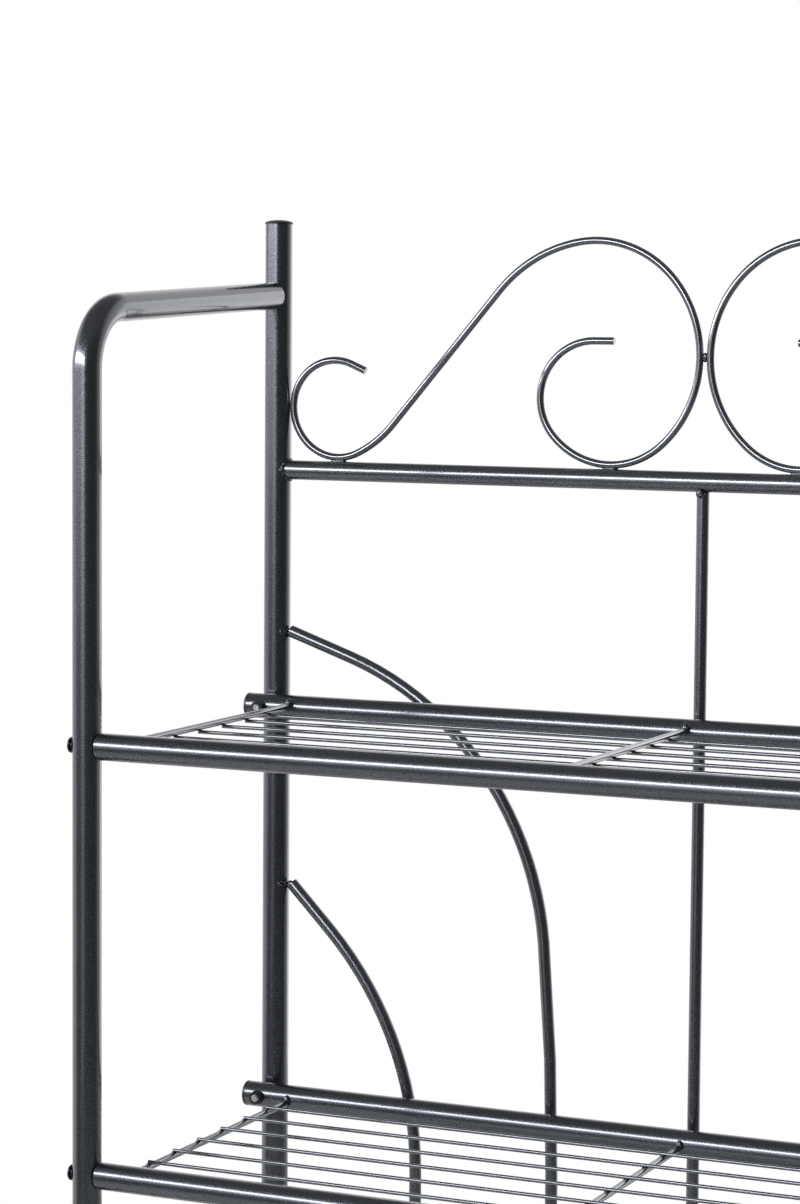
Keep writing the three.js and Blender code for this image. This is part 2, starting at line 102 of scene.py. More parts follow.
def lengths(name, description, default):
    return FloatVectorProperty(
        name=name, description=description, default=default, size=len(default), unit="LENGTH"
    )


def angle(name, description, degrees):
    default = math.radians(degrees)
    return FloatProperty(name=name, description=description, default=default, subtype="ANGLE")


def angles(name, description, degrees):
    default = tuple(math.radians(value) for value in degrees)
    return FloatVectorProperty(
        name=name, description=description, default=default, size=len(default)
    )


def colour(name, description, default):
    return FloatVectorProperty(
        name=name, description=description, default=default, size=3, subtype="COLOR"
    )


def number(name, description, default):
    return FloatProperty(name=name, description=description, default=default)


class TubeSettings(bpy.types.PropertyGroup):
    """Sizes of the side tubes, the posts and the rails"""

    wall: length("Wall", "Thickness of the tubes", 0.0012)
    rail_wall: length("Rail wall", "Thickness of the rails and shelf tubes", 0.001)
    sides: IntProperty(name="Sides", description="Faces around a tube", default=48)
    arm_bend_radius: length("Arm bend", "Radius at the middle of the tube", 0.0465)
    arm_height: length("Arm height", "From the top shelf to the arm, at the rear post", 0.3355)
    arm_rise: angle("Arm rise", "How much the arm climbs towards the back", 2.3)
    arm_gap: length("Arm gap", "Between the arm's cut end and the rear post", 0.0006)


class RodSettings(bpy.types.PropertyGroup):
    """Shape of the curved rods of the back panel"""

    outer_start: length("Outer start", "Start of an outer rod above the top shelf", 0.0605)
    outer_slope: angle("Outer slope", "Start of an outer rod, below the level", 19.2)
    outer_straight: length("Outer straight", "Outer rod before its bend", 0.0575)
    outer_radius: length("Outer radius", "Main bend of an outer rod", 0.26)
    outer_bend: angle("Outer bend", "Main bend of an outer rod", 65.4)
    outer_ease: length("Outer ease", "Radius of the slow bend that ends upright", 2.025)
    inner_start: length("Inner start", "Start of an inner rod above the top shelf", -0.149)
    inner_slope: angle("Inner slope", "Start of an inner rod, below the level", 45.6)
    inner_straight: length("Inner straight", "Inner rod before its bend", 0.051)
    inner_radius: length("Inner radius", "Bend of an inner rod", 0.276)


class ScrollSettings(bpy.types.PropertyGroup):
    """Bends of a scroll, from its tail beside the post to its tail in the middle"""

    small_tail: length("Small tail", "Straight end of the small loop", 0.0135)
    small_heading: angle("Small heading", "Heading of the small loop's tail", 157)
    small_radii: lengths("Small radii", "Bend radii of the small loop", (0.0375, 0.0405, 0.0945))
    small_bends: angles("Small bends", "Bend angles of the small loop", (97, 131, 24))
    big_radii: lengths(
        "Big radii", "Bend radii of the big loop", (0.114, 0.086, 0.0925, 0.0645, 0.0455)
    )
    big_bends: angles("Big bends", "Bend angles of the big loop", (-39, -61, -87, -89, -133))
    big_tail: length("Big tail", "Straight end of the big loop", 0.0165)


class ShelfSettings(bpy.types.PropertyGroup):
    """Sizes of the wire grid of a shelf"""

    crosswire_radius: length("Crosswire", "Radius of a crosswire", 0.00275)
    crosswire_drop: length("Drop", "Crosswires below the axes of the tubes", 0.0021)
    crosswires: IntProperty(name="Crosswires", description="Wires across", default=3)
    long_radius: length("Long wire", "Radius of a long wire", 0.0015)
    long_pitch: length("Pitch", "Between the long wires", 0.0395)
    long_wires: IntProperty(name="Long wires", description="Wires along", default=6)
    overhang: length("Overhang", "Long wires past the outer crosswires", 0.0005)
    weld_depth: length("Weld depth", "How far crossing wires sink into each other", 0.0004)
    insert_bore: length("Insert bore", "Radius of the thread in the front tubes", 0.0033)


class FittingSettings(bpy.types.PropertyGroup):
    """Sizes of the plastic parts, the bolts and the nuts"""

    cap_rim: length("Cap rim", "Straight part below the crown", 0.0005)
    plug_chamfer: length("Plug chamfer", "Edge of a tube plug", 0.0009)
    foot_chamfer: length("Foot chamfer", "Edge of a foot", 0.0018)
    head_rim: length("Head rim", "Straight part of a bolt head", 0.0008)
    head_height: length("Head", "Height of a bolt head", 0.0025)
    collar_radius: length("Collar", "Radius of the collar under a bolt head", 0.0042)
    shank_radius: length("Shank", "Radius of a bolt", 0.003)
    tip: length("Tip", "Bolt past its nut", 0.0012)
    nut_radius: length("Nut", "Half its width across the flats", 0.005)
    nut_washer_radius: length("Nut washer", "Radius of the washer behind the nut", 0.0059)
    nut_washer: length("Nut washer thickness", "Thickness of that washer", 0.0011)


class WeldSettings(bpy.types.PropertyGroup):
    """Sizes of the weld beads and spots, as half sizes along X, Y and Z"""

    bead: length("Bead", "Radius of the bead around an arm or a rail", 0.0014)
    roughness: length("Roughness", "How uneven a weld is", 0.00035)
    arm_end: lengths("Arm end", "Weld that closes the end of an arm", (0.0092, 0.0034, 0.0098))
    rod_start: lengths("Rod start", "Each blob between a rod and its post", (0.0023, 0.0019, 0.0024))
    rail_spot: lengths("Rail spot", "Spot where a rail meets a post", (0.0033, 0.0022, 0.0026))
    rod_end: lengths("Rod end", "Weld at the end of a rod", (0.003, 0.0027, 0.0032))
    centre_end: lengths("Centre end", "Weld at an end of the centre rod", (0.0039, 0.0034, 0.0047))
    scroll_foot: lengths("Scroll foot", "Weld under a loop", (0.0072, 0.0026, 0.0016))
    scroll_middle: lengths("Scroll middle", "Weld between the scrolls", (0.0022, 0.0022, 0.0042))
    wire_end: lengths("Wire end", "Weld at the end of a crosswire", (0.0036, 0.003, 0.0055))
    crossing: lengths("Crossing", "Weld where two wires cross", (0.0027, 0.0024, 0.0011))


class FinishSettings(bpy.types.PropertyGroup):
    """Colours of the finishes, from their darker to their lighter grain, and for the welds from painted
    shade to painted highlight
    """

    coat_dark: colour("Coat, dark", "Darker grain of the coating", (0.062, 0.067, 0.079))
    coat_light: colour("Coat, light", "Lighter grain of the coating", (0.104, 0.114, 0.136))
    # The rod and wire colours are the coat's colours made lighter, as painted light: lighter copies of the
    # same paint that brighten the highlights on the thinner rods and wires
    rod_dark: colour("Rod, dark", "Darker grain on rods and rails", (0.084, 0.09, 0.103))
    rod_light: colour("Rod, light", "Lighter grain on rods and rails", (0.134, 0.146, 0.171))
    wire_dark: colour("Wire, dark", "Darker grain on wire", (0.108, 0.115, 0.131))
    wire_light: colour("Wire, light", "Lighter grain on wire", (0.156, 0.17, 0.196))
    # The two weld colours are painted light on the same paint as the tubes: painted shade in the hollows,
    # painted highlights on the tops of the lumps
    weld_hollow_shade: colour("Weld, dark", "Hollows of a coated weld", (0.022, 0.024, 0.028))
    weld_crest_highlight: colour("Weld, light", "Crests of a coated weld", (0.26, 0.275, 0.3))
    plastic_dark: colour("Plastic, dark", "Darker plastic", (0.005, 0.005, 0.006))
    plastic_light: colour("Plastic, light", "Lighter plastic", (0.013, 0.013, 0.014))
    bolt_dark: colour("Bolt, dark", "Darker blackened steel", (0.018, 0.019, 0.021))
    bolt_light: colour("Bolt, light", "Worn blackened steel", (0.07, 0.072, 0.078))
    bright_dark: colour("Bright steel, dark", "Darker steel of a bolt tip", (0.3, 0.305, 0.315))
    bright_light: colour("Bright steel, light", "Lighter steel of a bolt tip", (0.84, 0.845, 0.85))


class StageSettings(bpy.types.PropertyGroup):
    """Camera, floor and lamps"""

    lens: number("Lens", "In millimetres, for a frame 36 mm high", 101.57)
    camera_place: lengths("Camera", "Place of the camera", (0.8856, -2.3382, 1.4207))
    camera_yaw: angle("Yaw", "Camera turned to the left", 24.6464)
    camera_pitch: angle("Pitch", "Camera turned down", 4.8977)
    camera_roll: angle("Roll", "Camera rolled to the left", 0.4509)
    floor_radius: length("Floor", "Radius of the floor", 3.0)
    key_place: lengths("Key panel", "Middle of the key panel", (-1.81, -1.82, 1.3))
    key_size: lengths("Key size", "Width and height of the key panel", (4.2, 1.9))
    key_turn: angle("Key turn", "Key panel turned to the rack", 27.9)


class RackSettings(bpy.types.PropertyGroup):
    """All settings of the rack"""

    tube: PointerProperty(type=TubeSettings)
    rod: PointerProperty(type=RodSettings)
    scroll: PointerProperty(type=ScrollSettings)
    shelf: PointerProperty(type=ShelfSettings)
    fitting: PointerProperty(type=FittingSettings)
    weld: PointerProperty(type=WeldSettings)
    finish: PointerProperty(type=FinishSettings)
    stage: PointerProperty(type=StageSettings)


def settings():
    return bpy.context.scene.bakers_rack


# Modelling
def pick(piece):
    """Selects one piece and nothing else."""
    bpy.ops.object.select_all(action="DESELECT")
    piece.select_set(True)
    bpy.context.view_layer.objects.active = piece


def edit(piece):
    pick(piece)
    bpy.ops.object.mode_set(mode="EDIT")
    bpy.ops.mesh.select_mode(type="VERT")
    bpy.ops.mesh.select_all(action="SELECT")


def close_edit():
    bpy.ops.object.mode_set(mode="OBJECT")


def apply_place(piece):
    pick(piece)
    bpy.ops.object.transform_apply(location=True, rotation=True, scale=True)


def ring(radius, sides, place, heading):
    """A ring of points that is ready to be drawn out"""
    bpy.ops.object.select_all(action="DESELECT")
    turn = Vector(heading).to_track_quat("Z", "Y").to_euler()
    bpy.ops.mesh.primitive_circle_add(vertices=sides, radius=radius, location=place, rotation=turn)
    piece = bpy.context.object
    apply_place(piece)
    edit(piece)
    return piece


def select_faces(piece, wanted):
    """Selects the faces that the test wants, in edit mode."""
    bpy.ops.mesh.select_mode(type="FACE")
    bpy.ops.mesh.select_all(action="DESELECT")
    close_edit()
    for polygon in piece.data.polygons:
        polygon.select = wanted(polygon)
    bpy.ops.object.mode_set(mode="EDIT")


def face_outwards():
    bpy.ops.mesh.select_all(action="SELECT")
    bpy.ops.mesh.normals_make_consistent(inside=False)


def close_ends():
    bpy.ops.mesh.select_all(action="SELECT")
    bpy.ops.mesh.fill_holes(sides=0)
    face_outwards()


def apply_modifier(piece, kind, **values):
    pick(piece)
    modifier = piece.modifiers.new(kind.title(), kind)
    for name, value in values.items():
        setattr(modifier, name, value)
    bpy.ops.object.modifier_apply(modifier=modifier.name)


def smooth(piece, degrees=35):
    pick(piece)
    bpy.ops.object.shade_smooth_by_angle(angle=math.radians(degrees))


def join(pieces):
    pick(pieces[0])
    for piece in pieces[1:]:
        piece.select_set(True)
    if len(pieces) > 1:
        bpy.ops.object.join()
    return pieces[0]


def copy_of(piece, shift=(0, 0, 0), scale=(1, 1, 1), turn=(0, 0, 0)):
    """A copy with its own mesh, scaled, turned and moved about the origin"""
    pick(piece)
    bpy.ops.object.duplicate(linked=False)
    copy = bpy.context.object
    copy.scale = scale
    copy.rotation_euler = turn
    copy.location = shift
    apply_place(copy)
    if scale[0] * scale[1] * scale[2] < 0:
        edit(copy)
        face_outwards()
        close_edit()
    return copy


def place_on_rack(piece, name, finish):
    if not piece.data.polygons:
        raise ValueError(f"{name} has no faces")
    piece.name = name
    if not piece.data.materials:
        piece.data.materials.append(finish)
    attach(piece, BODY)


def stand_for(piece, node, finish, tolerance=0.002):
    """The finished piece takes the place of its CAD node, whose box it has to fill."""
    place_on_rack(piece, f"finished_{node}", finish)
    for axis, (low, high) in enumerate(zip(*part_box(node))):
        places = [vertex.co[axis] for vertex in piece.data.vertices]
        if max(abs(min(places) - low), abs(max(places) - high)) > tolerance:
            raise ValueError(f"{piece.name} doesn't fill the box of {node}")
    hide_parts(node)


class Stock:
    """Stock that is drawn out into a tube, rod or wire, straight and through bends"""

    BEND_STEP = math.radians(3)
    END_BEVEL_STEPS = 2
    CORNERS_OF_A_SIDE = 4

    def __init__(self, radius, sides, start, heading, bend_axis=ACROSS):
        self.place = Vector(start)
        self.heading = Vector(heading).normalized()
        self.axis = Vector(bend_axis)
        self.piece = ring(radius, sides, self.place, self.heading)

    def straight(self, distance):
        return self.to(self.place + self.heading * distance)

    def to(self, place):
        run = Vector(place) - self.place
        bpy.ops.mesh.extrude_region_move(TRANSFORM_OT_translate={"value": run})
        self.place = Vector(place)
        return self

    def bend(self, radius, turn):
        """A positive turn goes by the right-hand rule about the bend axis."""
        centre = self.place + self.axis.cross(self.heading) * math.copysign(radius, turn)
        steps = math.ceil(abs(turn) / self.BEND_STEP)
        bpy.ops.mesh.spin(steps=steps, angle=-turn, center=centre, axis=self.axis)
        rotation = Quaternion(self.axis, turn)
        self.place = centre + rotation @ (self.place - centre)
        self.heading = rotation @ self.heading
        return self

    def hollow(self, wall):
        """Ends the drawing as a tube with this wall."""
        face_outwards()
        close_edit()
        apply_modifier(self.piece, "SOLIDIFY", thickness=wall, offset=-1, use_even_offset=True)
        smooth(self.piece)
        return self.piece

    def solid(self, edge):
        """Ends the drawing as a rod with a slightly rounded edge at each end."""
        close_ends()
        select_faces(self.piece, lambda face: len(face.vertices) > self.CORNERS_OF_A_SIDE)
        bpy.ops.mesh.bevel(offset=edge, segments=self.END_BEVEL_STEPS, affect="EDGES")
        close_edit()
        smooth(self.piece, 20)
        return self.piece


def turned(profile, sides, start=(0, 0, 0), heading=UP):
    """A turned piece, from pairs of radius and height that run along its axis from end to end"""
    radius, height = profile[0]
    piece = ring(radius, sides, (0, 0, height), UP)
    for next_radius, next_height in profile[1:]:
        rise = (0, 0, next_height - height)
        bpy.ops.mesh.extrude_region_move(TRANSFORM_OT_translate={"value": rise})
        growth = next_radius / radius
        bpy.ops.transform.resize(value=(growth, growth, 1), center_override=(0, 0, next_height))
        radius, height = next_radius, next_height
    close_ends()
    close_edit()
    piece.rotation_euler = Vector(heading).to_track_quat("Z", "Y").to_euler()
    piece.location = start
    apply_place(piece)
    smooth(piece)
    return piece


def chamfered(radius, chamfer):
    """Profile of a flat face with a rounded edge, from its middle to its side"""
    soft = 0.3 * chamfer
    return [(radius / 20, 0), (radius - chamfer, 0), (radius - soft, soft), (radius, chamfer)]


def domed(radius, rim, height, steps=8):
    """Profile of a dome, from its crown to its rim"""
    crown = height - rim
    points = [(radius / 20, 0)]
    for step in range(1, steps + 1):
        around = math.pi / 2 * step / steps
        points.append((radius * math.sin(around), crown * (1 - math.cos(around))))
    return [*points, (radius, height)]


def cut(piece, cutter, operation="DIFFERENCE"):
    """Cuts the piece with the cutter, which is used up."""
    apply_modifier(piece, "BOOLEAN", object=cutter, operation=operation, solver="EXACT")
    bpy.data.objects.remove(cutter)
    smooth(piece)
    return piece


def post_cutter(x, z, reach):
    """The space of a rear post around one height"""
    stock = Stock(TUBE_RADIUS, settings().tube.sides, (x, POST.y, z - reach), UP)
    return stock.straight(2 * reach).solid(reach / 100)


# Finishes
class Value:
    """A number socket that Python's operators can work with"""

    def __init__(self, surface, socket):
        self.surface = surface
        self.socket = socket

    def math(self, operation, *values):
        sockets = dict(enumerate(values))
        node = self.surface.node("ShaderNodeMath", {"operation": operation}, sockets)
        return Value(self.surface, node.outputs[0])

    def __add__(self, other):
        return self.math("ADD", self, other)

    def __sub__(self, other):
        return self.math("SUBTRACT", self, other)

    def __mul__(self, other):
        return self.math("MULTIPLY", self, other)

    def __rsub__(self, other):
        return self.math("SUBTRACT", other, self)

    __radd__ = __add__
    __rmul__ = __mul__

    def most(self, other):
        return self.math("MAXIMUM", self, other)

    def between(self, low, high):
        """0 below low, 1 above high and smooth between them"""
        choices = {"interpolation_type": "SMOOTHSTEP"}
        sockets = {"Value": self, "From Min": low, "From Max": high}
        node = self.surface.node("ShaderNodeMapRange", choices, sockets)
        return Value(self.surface, node.outputs["Result"])


class Surface:
    """The nodes of a material or of the world"""

    def __init__(self, owner):
        owner.use_nodes = True
        self.tree = owner.node_tree
        self.tree.nodes.clear()

    def node(self, kind, choices=None, sockets=None):
        node = self.tree.nodes.new(kind)
        for name, value in (choices or {}).items():
            setattr(node, name, value)
        for name, value in (sockets or {}).items():
            if isinstance(value, Value):
                value = value.socket
            if isinstance(value, bpy.types.NodeSocket):
                self.tree.links.new(value, node.inputs[name])
            else:
                node.inputs[name].default_value = value
        return node

    def coordinates(self, kind="Object"):
        place = self.node("ShaderNodeTexCoord").outputs[kind]
        parts = self.node("ShaderNodeSeparateXYZ", None, {0: place})
        return (Value(self, part) for part in parts.outputs)

    def ray(self, kind):
        return Value(self, self.node("ShaderNodeLightPath").outputs[kind])

    def noise(self, size, detail=2.0, roughness=0.5):
        """Noise whose features have this size"""
        place = self.node("ShaderNodeTexCoord").outputs["Object"]
        sockets = {"Vector": place, "Scale": 1 / size, "Detail": detail, "Roughness": roughness}
        return Value(self, self.node("ShaderNodeTexNoise", None, sockets).outputs["Fac"])

    def blend(self, share, first, second):
        """A colour between two colours"""
        sockets = {"Factor": share, 6: (*first, 1), 7: (*second, 1)}
        return self.node("ShaderNodeMix", {"data_type": "RGBA"}, sockets).outputs[2]

    def bump(self, height, distance):
        sockets = {"Height": height, "Distance": distance}
        return self.node("ShaderNodeBump", None, sockets).outputs["Normal"]

    def end(self, shader, kind="ShaderNodeOutputMaterial"):
        self.node(kind, None, {"Surface": shader.outputs[0]})


def principled(name, make):
    """A material from a function that gives the shader's inputs"""
    material = bpy.data.materials.new(name)
    surface = Surface(material)
    surface.end(surface.node("ShaderNodeBsdfPrincipled", None, make(surface)))
    return material


def coating(name, dark, light, ripple_depth, grain_share, roughness):
    """Dark grey coating with a fine metallic grain and a slightly hammered surface"""

    def make(surface):
        ripple = surface.noise(0.003, 1.0)
        flakes = surface.noise(0.0009, 2.0, 0.6)
        cloud = surface.noise(0.05)
        share = (flakes * 0.8 + cloud * 0.2).between(0.3, 0.7)
        return {
            "Base Color": surface.blend(share, dark, light),
            "Metallic": 0.93,
            "Roughness": roughness + flakes * 0.08,
            "Normal": surface.bump(ripple + flakes * grain_share, ripple_depth),
            "Coat Weight": 0.9,
            "Coat Roughness": 0.07,
        }

    return principled(name, make)


def tube_coating():
    colours = settings().finish
    return coating("coated_tube", colours.coat_dark, colours.coat_light, 0.00003, 0.4, 0.235)


def rod_coating():
    """The same coating, a little smoother on the rods and rails, in lighter colours that paint in brighter
    highlights
    """
    colours = settings().finish
    return coating("coated_rod", colours.rod_dark, colours.rod_light, 0.00001, 0.4, 0.235)


def wire_coating():
    """The same coating, which flows out glossy on wire, in lighter colours that paint in brighter highlights
    """
    colours = settings().finish
    return coating("coated_wire", colours.wire_dark, colours.wire_light, 0.000003, 0.2, 0.14)


def weld_coating():
    """The coating over a rough weld, with painted shade in its hollows and painted highlights on the tops of
    its lumps
    """
    colours = settings().finish

    def make(surface):
        lumps = surface.noise(0.0012, 2.0, 0.6)
        # The base colour paints shade into the hollows and highlights onto the tops of the lumps; the weld's
        # real coating is the same paint as the tubes
        shade_and_highlight_share = lumps.between(0.5, 0.7)
        return {
            "Base Color": surface.blend(shade_and_highlight_share, colours.weld_hollow_shade, colours.weld_crest_highlight),
            "Metallic": 0.9,
            "Roughness": 0.1 + lumps * 0.15,
            "Normal": surface.bump(lumps, 0.0007),
            "Coat Weight": 0.6,
            "Coat Roughness": 0.08,
        }

    return principled("coated_weld_painted_light", make)


def moulded_plastic():
    """Black plastic with a fine moulded grain"""
    colours = settings().finish

    def make(surface):
        grain = surface.noise(0.0004)
        cloud = surface.noise(0.008)
        return {
            "Base Color": surface.blend(cloud, colours.plastic_dark, colours.plastic_light),
            "Roughness": 0.34 + grain * 0.16,
            "Normal": surface.bump(grain, 0.00003),
        }

    return principled("moulded_plastic", make)


def fastener(name, dark, light):
    """Steel of the bolts, nuts and washers, a little worn"""

    def make(surface):
        grain = surface.noise(0.0005)
        cloud = surface.noise(0.003)
        return {
            "Base Color": surface.blend(cloud, dark, light),
            "Metallic": 0.8,
            "Roughness": 0.2 + cloud * 0.16,
            "Normal": surface.bump(grain, 0.00004),
        }

    return principled(name, make)


def blackened_steel():
    colours = settings().finish
    return fastener("blackened_fastener", colours.bolt_dark, colours.bolt_light)


def bright_steel():
    colours = settings().finish
    return fastener("bright_fastener", colours.bright_dark, colours.bright_light)


FINISHES = {}


def finish(maker):
    """One material for each finish, made the first time that it is used"""
    if maker not in FINISHES:
        FINISHES[maker] = maker()
    return FINISHES[maker]


# Pieces
class RackOperator:
    """Something that is made for the rack"""

    bl_options = {"REGISTER", "UNDO"}

    def execute(self, context):
        self.make(settings())
        return {"FINISHED"}


def arm_height(tube, y):
    """Height of the arm's axis at one place along it"""
    return TOP_SHELF_Z + tube.arm_height - (POST.y - y) * math.tan(tube.arm_rise)


def bend_start(tube):
    """Height where the leg's bend starts"""
    arm_start = LEG_Y + tube.arm_bend_radius * (1 - math.sin(tube.arm_rise))
    return arm_height(tube, arm_start) - tube.arm_bend_radius * math.cos(tube.arm_rise)


def arm_end(tube):
    """Middle of the arm's cut end, close to the front of the rear post"""
    y = POST.y - TUBE_RADIUS - tube.arm_gap
    return Vector((POST.x, y, arm_height(tube, y)))


class RACK_OT_side_tubes(RackOperator, bpy.types.Operator):
    """Bend each front leg back into the arm that meets the rear post"""

    bl_idname = "rack.side_tubes"
    bl_label = "Side Tubes"

    def make(self, rack):
        tube = rack.tube
        stock = Stock(TUBE_RADIUS, tube.sides, (POST.x, LEG_Y, TUBE_START), UP)
        stock.to((POST.x, LEG_Y, bend_start(tube)))
        stock.bend(tube.arm_bend_radius, tube.arm_rise - math.pi / 2)
        left = stock.to(arm_end(tube)).hollow(tube.wall)
        right = copy_of(left, shift=ACROSS * 2 * HALF_SPACING)
        # The solid's arm is cut to the post's round, and the real one is cut straight.
        shorter = TUBE_RADIUS + 2 * tube.arm_gap
        stand_for(left, "side_tube_left", finish(tube_coating), shorter)
        stand_for(right, "side_tube_right", finish(tube_coating), shorter)


class RACK_OT_rear_posts(RackOperator, bpy.types.Operator):
    """Draw the two straight rear posts"""

    bl_idname = "rack.rear_posts"
    bl_label = "Rear Posts"

    def make(self, rack):
        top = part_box("rear_post_left")[1].z
        stock = Stock(TUBE_RADIUS, rack.tube.sides, (POST.x, POST.y, TUBE_START), UP)
        left = stock.to((POST.x, POST.y, top)).hollow(rack.tube.wall)
        right = copy_of(left, shift=ACROSS * 2 * HALF_SPACING)
        stand_for(left, "rear_post_left", finish(tube_coating))
        stand_for(right, "rear_post_right", finish(tube_coating))


class RACK_OT_cross_rails(RackOperator, bpy.types.Operator):
    """Draw the rails of the back panel and cut their ends to the posts"""

    bl_idname = "rack.cross_rails"
    bl_label = "Cross Rails"

    def make(self, rack):
        start = (-HALF_SPACING, POST.y, TOP_RAIL_Z)
        stock = Stock(RAIL_RADIUS, rack.tube.sides, start, ACROSS)
        top = stock.straight(2 * HALF_SPACING).hollow(rack.tube.rail_wall)
        for sign in SIDES.values():
            cut(top, post_cutter(sign * HALF_SPACING, TOP_RAIL_Z, 4 * RAIL_RADIUS))
        bottom = copy_of(top, shift=UP * (BOTTOM_RAIL_Z - TOP_RAIL_Z))
        stand_for(top, "top_rail", finish(rod_coating))
        stand_for(bottom, "bottom_rail", finish(rod_coating))


class RACK_OT_rods(RackOperator, bpy.types.Operator):
    """Draw the centre rod and bend the four curved rods of the back panel"""

    bl_idname = "rack.rods"
    bl_label = "Rods"
    SIDES_OF_ROD = 32
    EDGE = 0.0004

    def make(self, rack):
        rod = rack.rod
        low = BOTTOM_RAIL_Z + RAIL_RADIUS
        stock = Stock(ROD_RADIUS, self.SIDES_OF_ROD, (0, POST.y, low), UP)
        centre = stock.to((0, POST.y, TOP_RAIL_Z - RAIL_RADIUS)).solid(self.EDGE)
        stand_for(centre, "centre_rod", finish(rod_coating))
        stock = self.start(rod.outer_start, rod.outer_slope, rod.outer_straight)
        stock.bend(rod.outer_radius, rod.outer_bend)
        stock.bend(rod.outer_ease, math.pi / 2 - rod.outer_slope - rod.outer_bend)
        self.finish_pair(stock, "outer_rod", low)
        stock = self.start(rod.inner_start, rod.inner_slope, rod.inner_straight)
        stock.bend(rod.inner_radius, math.pi / 2 - rod.inner_slope)
        self.finish_pair(stock, "inner_rod", low)

    def start(self, height, slope, straight):
        heading = (math.cos(slope), 0, -math.sin(slope))
        place = rod_start(height, slope)
        return Stock(ROD_RADIUS, self.SIDES_OF_ROD, place, heading, BACK).straight(straight)

    def finish_pair(self, stock, node, low):
        left = stock.to((stock.place.x, POST.y, low)).solid(self.EDGE)
        right = copy_of(left, scale=MIRRORED)
        stand_for(left, f"{node}_left", finish(rod_coating))
        stand_for(right, f"{node}_right", finish(rod_coating))


def rod_start(height, slope):
    """Middle of the end of a curved rod, whose lower edge touches the left post"""
    x = POST.x + TUBE_RADIUS + ROD_RADIUS * math.sin(slope)
    return Vector((x, POST.y, TOP_SHELF_Z + height))


def trace(moves, heading, steps=60):
    """Places along a bent path that starts at the origin"""
    place = Vector((0, 0, 0))
    places = [place]
    for radius, amount in moves:
        if radius is None:
            place = place + Vector((math.cos(heading), 0, math.sin(heading))) * amount
            places.append(place)
            continue
        side = math.copysign(radius, amount)
        centre = place + Vector((-math.sin(heading), 0, math.cos(heading))) * side
        for step in range(1, steps + 1):
            turn = heading + amount * step / steps
            place = centre + Vector((math.sin(turn), 0, -math.cos(turn))) * side
            places.append(place)
        heading += amount
    return places


class ScrollPath:
    """The two loops of the left scroll, in the place that the frame gives"""

    def __init__(self, scroll):
        self.heading = scroll.small_heading
        self.small = [(None, scroll.small_tail), *zip(scroll.small_radii, scroll.small_bends)]
        self.big = [*zip(scroll.big_radii, scroll.big_bends), (None, scroll.big_tail)]
        small_places = trace(self.small, self.heading)
        big_places = trace(self.big, self.heading + sum(scroll.small_bends))
        low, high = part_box("scroll_left")
        base = low.z + SCROLL_RADIUS
        inner = low.x + SCROLL_RADIUS - min(place.x for place in small_places)
        outer = high.x - SCROLL_RADIUS - max(place.x for place in big_places)
        small_low = min(small_places, key=lambda place: place.z)
        big_low = min(big_places, key=lambda place: place.z)
        self.start = Vector((inner, POST.y, base - small_low.z))
        self.big_start = Vector((outer, POST.y, base - big_low.z))
        self.feet = [self.start + small_low, self.big_start + big_low]
        self.side = self.big_start + max(big_places, key=lambda place: place.x)


class RACK_OT_scrolls(RackOperator, bpy.types.Operator):
    """Bend the two S-shaped scrolls that stand on the top rail"""

    bl_idname = "rack.scrolls"
    bl_label = "Scrolls"
    SIDES_OF_WIRE = 28
    EDGE = 0.00035

    def make(self, rack):
        path = ScrollPath(rack.scroll)
        heading = (math.cos(path.heading), 0, math.sin(path.heading))
        stock = Stock(SCROLL_RADIUS, self.SIDES_OF_WIRE, path.start, heading, -BACK)
        self.follow(stock, path.small)
        stock.to(path.big_start)
        self.follow(stock, path.big)
        left = stock.solid(self.EDGE)
        right = copy_of(left, scale=MIRRORED)
        stand_for(left, "scroll_left", finish(wire_coating))
        stand_for(right, "scroll_right", finish(wire_coating))

    def follow(self, stock, moves):
        for radius, amount in moves:
            if radius is None:
                stock.straight(amount)
            else:
                stock.bend(radius, amount)


def up_to_each_shelf(piece, make_slot, copies_of_first=None):
    """Gives a piece of the lowest shelf, and copies of it, to all the shelves."""
    for name in reversed(SHELVES):
        shift = UP * (SHELF_HEIGHTS[name] - SHELF_HEIGHTS[LOWEST_SHELF])
        make_slot(piece if name == LOWEST_SHELF else copy_of(piece, shift=shift), name)


class RACK_OT_shelf_tubes(RackOperator, bpy.types.Operator):
    """Draw the front and rear tube of each shelf"""

    bl_idname = "rack.shelf_tubes"
    bl_label = "Shelf Tubes"

    def make(self, rack):
        shelf_z = SHELF_HEIGHTS[LOWEST_SHELF]
        reach = HALF_SPACING - TUBE_RADIUS
        stock = Stock(SHELF_TUBE_RADIUS, rack.tube.sides, (-reach, LEG_Y, shelf_z), ACROSS)
        front = stock.straight(2 * reach).hollow(SHELF_TUBE_RADIUS - rack.shelf.insert_bore)
        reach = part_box(f"{LOWEST_SHELF}_rear_tube")[1].x
        stock = Stock(SHELF_TUBE_RADIUS, rack.tube.sides, (-reach, REAR_TUBE_Y, shelf_z), ACROSS)
        rear = stock.straight(2 * reach).hollow(rack.tube.rail_wall)
        for piece, row in ((front, "front"), (rear, "rear")):
            up_to_each_shelf(
                piece,
                lambda copy, name: stand_for(
                    copy, f"{name}_{row}_tube", finish(tube_coating)
                ),
            )


